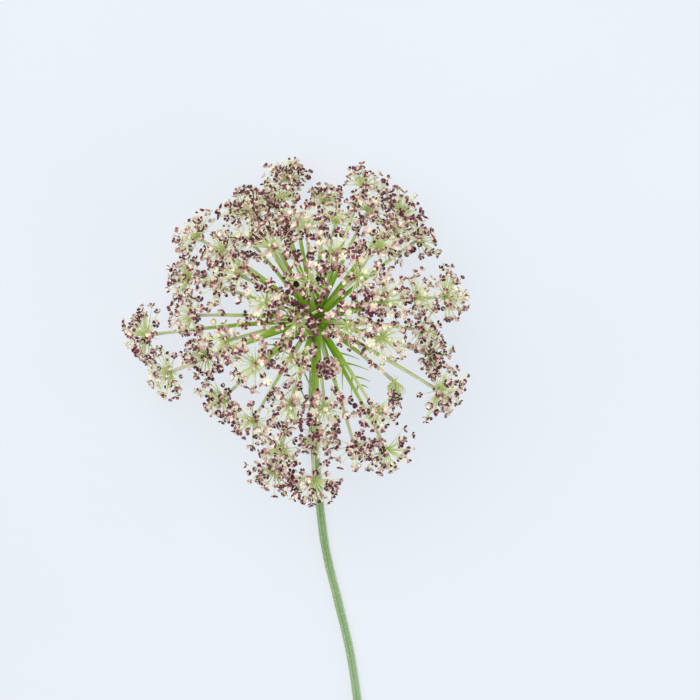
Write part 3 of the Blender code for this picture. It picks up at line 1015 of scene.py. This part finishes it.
@dataclass
class UmbelletMaker:
    """Grows the small umbels: each a knot with bracteoles, stalks and florets."""

    dome: Dome
    patterns: dict[FloretKind, FloretPattern] = field(default_factory=dict)
    scratch: Optional[bpy.types.Mesh] = None
    floret_radius: float = 0.88 * MM
    closed_scale: float = 0.45
    floret_depth: float = 1.0 * MM
    stalk_radius: float = 0.12 * MM
    stalk_steps: int = 4
    core_radius: float = 0.62 * MM
    bracteole_radius: float = 0.15 * MM
    bracteole_steps: int = 5
    settle_rounds: int = 20
    crowding: float = 1.7
    wall_gap: float = 0.05 * MM
    table_gap: float = 0.3 * MM
    golden: float = math.pi * (3.0 - math.sqrt(5.0))
    widest: float = math.radians(98.0)
    hanging_widest: float = math.radians(24.0)
    hanging_way: tuple[float, float, float] = (-0.05, -1.0, -0.05)
    ray_pull: float = 0.75
    up_pull: float = 0.35
    least_florets: int = 28
    least_spread_mm: float = 4.0
    florets_per_mm: float = 9.0
    hanging_florets: int = 40
    knot_florets: int = 60
    missing: float = 0.15
    crown_from: float = 0.55
    crown_over: float = 0.3
    crown_boost: float = 0.35
    middle_share: float = 0.42
    middle_loss: float = 0.2
    size_range: tuple[float, float] = (0.92, 1.25)
    hanging_scale: float = 0.8
    blush_least: float = 0.45
    blush_by_share: float = 0.36
    blush_by_dark: float = 0.40
    blush_stray: float = 0.38
    dark_slot_from: float = 0.45
    first_seed: int = 500

    def __post_init__(self) -> None:
        """Model the floret patterns once."""
        self.scratch = bpy.data.meshes.new("floret_scratch")
        for kind in FloretKind:
            self.patterns[kind] = FloretPattern(kind).build()

    def half_size(self, facing: Vector, towards: Vector, radius: float) -> float:
        """Return how far a floret reaches from its middle in one direction."""
        tilt = abs(facing.dot(towards))
        return radius * math.sqrt(max(0.0, 1 - tilt * tilt)) + self.floret_depth * 0.5 * tilt

    def settle(self, ends: list[Vector], facings: list[Vector], radius: float, walls: list[Vector]) -> None:
        """Move florets into the umbel's own room, above the table and off each other.

        Args:
            ends: The florets' middles, changed in place.
            facings: The way that each floret faces.
            radius: The florets' radius.
            walls: Directions of the planes through the hub that bound the room.
        """
        for _ in range(self.settle_rounds):
            for i in range(len(ends)):
                for j in range(i):
                    apart = ends[i] - ends[j]
                    short = self.crowding * radius - apart.length
                    if short > 0:
                        push = apart.normalized() * short * 0.5
                        ends[i] = ends[i] + push
                        ends[j] = ends[j] - push
            for i, facing in enumerate(facings):
                for wall in walls:
                    reach = self.half_size(facing, wall, radius)
                    short = reach + self.wall_gap - (ends[i] - HUB).dot(wall)
                    if short > 0:
                        ends[i] = ends[i] + wall * short
                short = self.half_size(facing, UP, radius) + self.table_gap - ends[i].z
                if short > 0:
                    ends[i] = ends[i] + UP * short

    def fullness(self, site: Site) -> float:
        """Return a factor on an umbel's size: those over the hub fill the head's middle."""
        rise = (site.way.z - self.crown_from) / self.crown_over
        return 1.0 + self.crown_boost * max(0.0, min(1.0, rise))

    def floret_count(self, site: Site) -> int:
        """Choose how many florets an umbel carries, by its size.

        Args:
            site: The umbel.

        Returns:
            How many florets there would be if none were missing.
        """
        if site.closed:
            return self.hanging_florets if self.hangs(site) else self.knot_florets
        extra = (site.spread / MM - self.least_spread_mm) * self.florets_per_mm
        return round((self.least_florets + extra) * self.fullness(site))

    def pick_kind(self, share: float, site: Site, draw: random.Random) -> FloretKind:
        """Choose a floret's state: mostly seed cups and buds in the middle, open ones at the rim.

        Args:
            share: Where the floret stands, from 0 in the middle to 1 at the rim.
            site: The umbel that carries it.
            draw: Source of random numbers.

        Returns:
            The state of the floret.
        """
        if self.hangs(site):
            return FloretKind.BUD
        middle = self.middle_share - self.middle_loss * site.dark
        chances = MIDDLE_CHANCES if share < middle else RIM_CHANCES
        if site.closed:
            chances = KNOT_CHANCES
        chance = draw.random()
        return next(kind for limit, kind in chances if chance < limit)

    def dark_places(self, site: Site) -> list[Vector]:
        """Find the near-black florets that stand nearest to this umbel.

        Args:
            site: The umbel.

        Returns:
            The middles of its near-black florets.
        """
        places = [HUB + Vector(spot) * MM for spot in DARK_SPOTS]
        return [place for place in places
                if min(self.dome.sites, key=lambda other: (other.centre - place).length) is site]

    def bracteoles(self, bm: bmesh.types.BMesh, site: Site, draw: random.Random) -> None:
        """Add the ring of thin bracteoles that bend back under the umbel.

        Args:
            bm: The umbel's mesh.
            site: Where the umbel grows.
            draw: Source of random numbers.
        """
        turned = UP.rotation_difference(site.way).to_matrix()
        count = 7 if site.spread > 5.0 * MM else 5
        radii = [self.bracteole_radius * (1.0 - 0.15 * step) for step in range(self.bracteole_steps + 1)]
        for index in range(count):
            around = math.tau * (index + draw.uniform(-0.25, 0.25)) / count
            out = turned @ Vector((math.cos(around), math.sin(around), 0.0))
            length = site.spread * draw.uniform(0.5, 0.85)
            start = site.centre + out * self.core_radius * 0.5
            bow = start + out * length * 0.6 + site.way * length * 0.15
            end = start + out * length * 0.9 - site.way * length * draw.uniform(0.05, 0.45)
            if end.z >= self.table_gap:
                path = arc_path(start, bow, end, self.bracteole_steps)
                sweep(bm, path, radii, 4, along=(0.05, 0.5), tone=draw.uniform(-0.3, 0.3), skin=Skin.STALK)

    def hangs(self, site: Site) -> bool:
        """Return whether this is the dried umbel that hangs down like a bird's nest."""
        return site.closed and site.way.z < 0.0

    def axis(self, site: Site) -> Vector:
        """Choose the way that an umbel's dome faces: an open one turns a little up from its ray.

        Args:
            site: The umbel.

        Returns:
            The direction from its knot to the middle of its florets.
        """
        if self.hangs(site):
            return Vector(self.hanging_way).normalized()
        if site.closed:
            return site.way
        return (site.way * self.ray_pull + UP * self.up_pull).normalized()

    def arms(self, site: Site, draw: random.Random) -> tuple[list[Vector], list[Vector], list[float]]:
        """Spread the florets over the umbel's dome.

        Args:
            site: Where the umbel grows.
            draw: Source of random numbers.

        Returns:
            The middle of each floret, the way that it faces, and its share from middle to rim.
        """
        turned = UP.rotation_difference(self.axis(site)).to_matrix()
        count = self.floret_count(site)
        widest = self.hanging_widest if self.hangs(site) else self.widest
        spread = (site.spread + 0.4 * MM) * (1.0 if site.closed else self.fullness(site) ** 0.7)
        lobe_turn = draw.uniform(0, math.tau)
        ends, facings, shares = [], [], []
        for index in range(count):
            if draw.random() < self.missing:
                continue
            share = (index + 0.5) / count
            lean = math.acos(1.0 - share * (1.0 - math.cos(widest))) + draw.uniform(-0.1, 0.1)
            around = index * self.golden + draw.uniform(-0.35, 0.35)
            local = Vector((math.sin(lean) * math.cos(around), math.sin(lean) * math.sin(around),
                            math.cos(lean)))
            # The dome is widest at its rim, has three shallow lobes, and each floret falls a little short.
            uneven = 1.0 + 0.10 * math.sin(3 * around + lobe_turn) * math.sin(lean)
            length = spread * (0.70 + 0.34 * math.sin(lean)) * (1.06 - 0.40 * draw.random() ** 1.4) * uneven
            if self.hangs(site):
                length = spread * draw.uniform(0.5, 1.35)
            elif site.closed:
                length = spread * (0.15 + 0.50 * math.sqrt(draw.random()))
            ends.append(site.centre + (turned @ local) * length)
            facings.append((turned @ (local * 0.65 + UP * 0.35) + stray(draw, 0.3)).normalized())
            shares.append(lean / widest)
        return ends, facings, shares

    def add_floret(self, bm: bmesh.types.BMesh, site: Site, end: Vector, facing: Vector, share: float,
                   near_black: bool, draw: random.Random) -> None:
        """Add one floret, copied from its pattern, with the stalk that carries it.

        Args:
            bm: The umbel's mesh.
            site: The umbel that carries it.
            end: The floret's middle.
            facing: The way that it faces.
            share: Where it stands, from 0 in the middle to 1 at the rim.
            near_black: Whether it is near black.
            draw: Source of random numbers.
        """
        grown = bmesh.new()
        kind = FloretKind.CUPPED if near_black else self.pick_kind(share, site, draw)
        grown.from_mesh(self.patterns[kind].mesh)
        blush, tone_layer = layer_of(grown, Layer.BLUSH), layer_of(grown, Layer.TONE)
        size = draw.uniform(*self.size_range) * (self.hanging_scale if self.hangs(site) else 1.0)
        base = end - facing * 0.4 * MM * size
        gain = (self.blush_least + self.blush_by_share * share + self.blush_by_dark * site.dark
                + draw.uniform(-self.blush_stray, self.blush_stray))
        if site.closed:
            brighter = max(0.0, (end - site.centre).x / site.spread)
            gain = draw.uniform(0.85, 1.15) - (0.0 if self.hangs(site) else 0.9 * brighter)
        tone = draw.uniform(-0.4, 0.6)
        uneven = Matrix.Diagonal((size * draw.uniform(0.85, 1.12), size, size * draw.uniform(0.8, 1.1),
                                  1.0))
        place = aim_at(base, facing, draw.uniform(0, math.tau)) @ uneven
        for vert in grown.verts:
            vert.co = place @ vert.co
            vert[blush] = 1.0 if near_black else min(0.90, vert[blush] * gain)
            vert[tone_layer] = tone
        foot = base - facing * 0.5 * MM * size
        bow = site.centre + (foot - site.centre) * 0.55 + site.way * 0.06 * site.spread
        if self.hangs(site):
            arm, axis = foot - site.centre, self.axis(site)
            bow = bow + (arm - axis * arm.dot(axis)) * 1.9
        radii = [self.stalk_radius * (1.35 - 0.12 * step) for step in range(self.stalk_steps + 1)]
        sweep(grown, arc_path(site.centre, bow, foot, self.stalk_steps), radii, 5, along=(0.0, 0.75),
              tone=draw.uniform(-0.3, 0.4), skin=Skin.STALK)
        grown.to_mesh(self.scratch)
        grown.free()
        bm.from_mesh(self.scratch)

    def build_one(self, number: int, site: Site) -> bpy.types.Object:
        """Grow one small umbel.

        Args:
            number: Its place in the table, which seeds its random draws.
            site: Where it grows.

        Returns:
            The finished piece.
        """
        draw = random.Random(self.first_seed + number)
        bm = new_bmesh()
        bmesh.ops.create_uvsphere(bm, u_segments=10, v_segments=7, radius=self.core_radius,
                                  matrix=aim_at(site.centre, site.way))
        for face in bm.faces:
            face.material_index = Skin.STALK.value
        ends, facings, shares = self.arms(site, draw)
        radius = self.floret_radius * (self.closed_scale if site.closed else 1.0)
        self.settle(ends, facings, radius, self.dome.walls(site))
        for end, facing, share in zip(ends, facings, shares):
            self.add_floret(bm, site, end, facing, share, False, draw)
        for place in self.dark_places(site):
            self.add_floret(bm, site, place, (site.way + UP).normalized(), 1.0, True, draw)
        self.bracteoles(bm, site, draw)
        finishes = [WITHERED if self.hangs(site) else PETAL, STALK]
        return finish_piece(site.name + "_florets", bm, finishes, [site.name])

    def build(self) -> None:
        """Grow every small umbel."""
        for number, site in enumerate(self.dome.sites):
            self.build_one(number, site)


@dataclass
class Studio:
    """The pale table, the soft lights and the camera that looks straight down."""

    floor_size: float = 3.0
    floor_colour: Colour = (0.150, 0.158, 0.169)
    floor_light: Colour = (0.153, 0.161, 0.171)
    floor_glow: float = 4.05
    sky_colour: Colour = (0.86, 0.92, 1.0)
    sky_strength: float = 0.6
    pixel: float = 0.256 * MM
    distance: float = 430.0 * MM
    frame_pixels: int = 700
    hub_pixel: tuple[float, float] = (315.0, 320.0)
    sensor: float = 36.0

    def floor(self) -> None:
        """Lay the pale table top."""
        bm = bmesh.new()
        bmesh.ops.create_grid(bm, x_segments=1, y_segments=1, size=self.floor_size / 2)
        mesh = bpy.data.meshes.new("pale_table")
        bm.to_mesh(mesh)
        bm.free()
        table = add_object("pale_table", mesh)
        material = bpy.data.materials.new("pale_table")
        material.use_nodes = True
        nodes, links = material.node_tree.nodes, material.node_tree.links
        shader = nodes["Principled BSDF"]
        place = nodes.new("ShaderNodeTexCoord")
        cloud = nodes.new("ShaderNodeTexNoise")
        set_inputs(cloud, {"Scale": 9.0, "Detail": 4.0})
        links.new(place.outputs["Object"], cloud.inputs["Vector"])
        ramp = nodes.new("ShaderNodeValToRGB")
        dim, bright = ramp.color_ramp.elements
        dim.position, bright.position = 0.3, 0.7
        dim.color, bright.color = rgba(self.floor_colour), rgba(self.floor_light)
        links.new(cloud.outputs["Fac"], ramp.inputs["Fac"])
        links.new(ramp.outputs["Color"], shader.inputs["Base Color"])
        links.new(ramp.outputs["Color"], shader.inputs["Emission Color"])
        set_inputs(shader, {"Roughness": 0.9, "Specular IOR Level": 0.1,
                            "Emission Strength": self.floor_glow})
        mesh.materials.append(material)

    def light(self, name: str, place: Vector, size: float, power: float, colour: Colour) -> None:
        """Hang one square soft light that faces the flower.

        Args:
            name: The light's name.
            place: Where it hangs.
            size: The length of its sides.
            power: Its power in watts.
            colour: Its colour.
        """
        lamp = bpy.data.lights.new(name, "AREA")
        lamp.size = size
        lamp.energy = power
        lamp.color = colour
        holder = add_object(name, lamp)
        holder.location = place
        holder.rotation_euler = (HUB - place).to_track_quat("-Z", "Y").to_euler()

    def camera(self) -> None:
        """Set the camera over the flower so that the hub lands on its place in the picture."""
        lens = bpy.data.cameras.new("camera")
        lens.sensor_width = self.sensor
        lens.lens = self.sensor * self.distance / (self.frame_pixels * self.pixel)
        lens.clip_start = 10 * MM
        middle = self.frame_pixels / 2
        across = (middle - self.hub_pixel[0]) * self.pixel
        along = (self.hub_pixel[1] - middle) * self.pixel
        eye = add_object("camera", lens)
        eye.location = HUB + Vector((across, along, self.distance))
        bpy.context.scene.camera = eye

    def build(self) -> None:
        """Set up floor, lights, world and camera."""
        self.floor()
        self.light("sky_panel", Vector((-0.25, 0.35, 1.1)), size=1.4, power=17.0, colour=(1.0, 0.985, 0.96))
        self.light("side_panel", Vector((0.9, -0.2, 0.5)), size=0.9, power=4.0, colour=(0.93, 0.96, 1.0))
        world = bpy.data.worlds.new("studio")
        world.use_nodes = True
        set_inputs(world.node_tree.nodes["Background"],
                   {"Color": rgba(self.sky_colour), "Strength": self.sky_strength})
        bpy.context.scene.world = world
        bpy.context.scene.view_settings.view_transform = "Standard"
        self.camera()


def main() -> None:
    """Build the flower and its studio; each new piece notes its size as it is made."""
    logging.basicConfig(level=logging.INFO, format="%(name)s %(message)s")
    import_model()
    dome = Dome()
    dome.build()
    Stem().build()
    RaySpray(dome).build()
    BractCollar().build()
    UmbelletMaker(dome).build()
    Studio().build()
    bpy.context.view_layer.update()


if __name__ == "__main__":
    main()
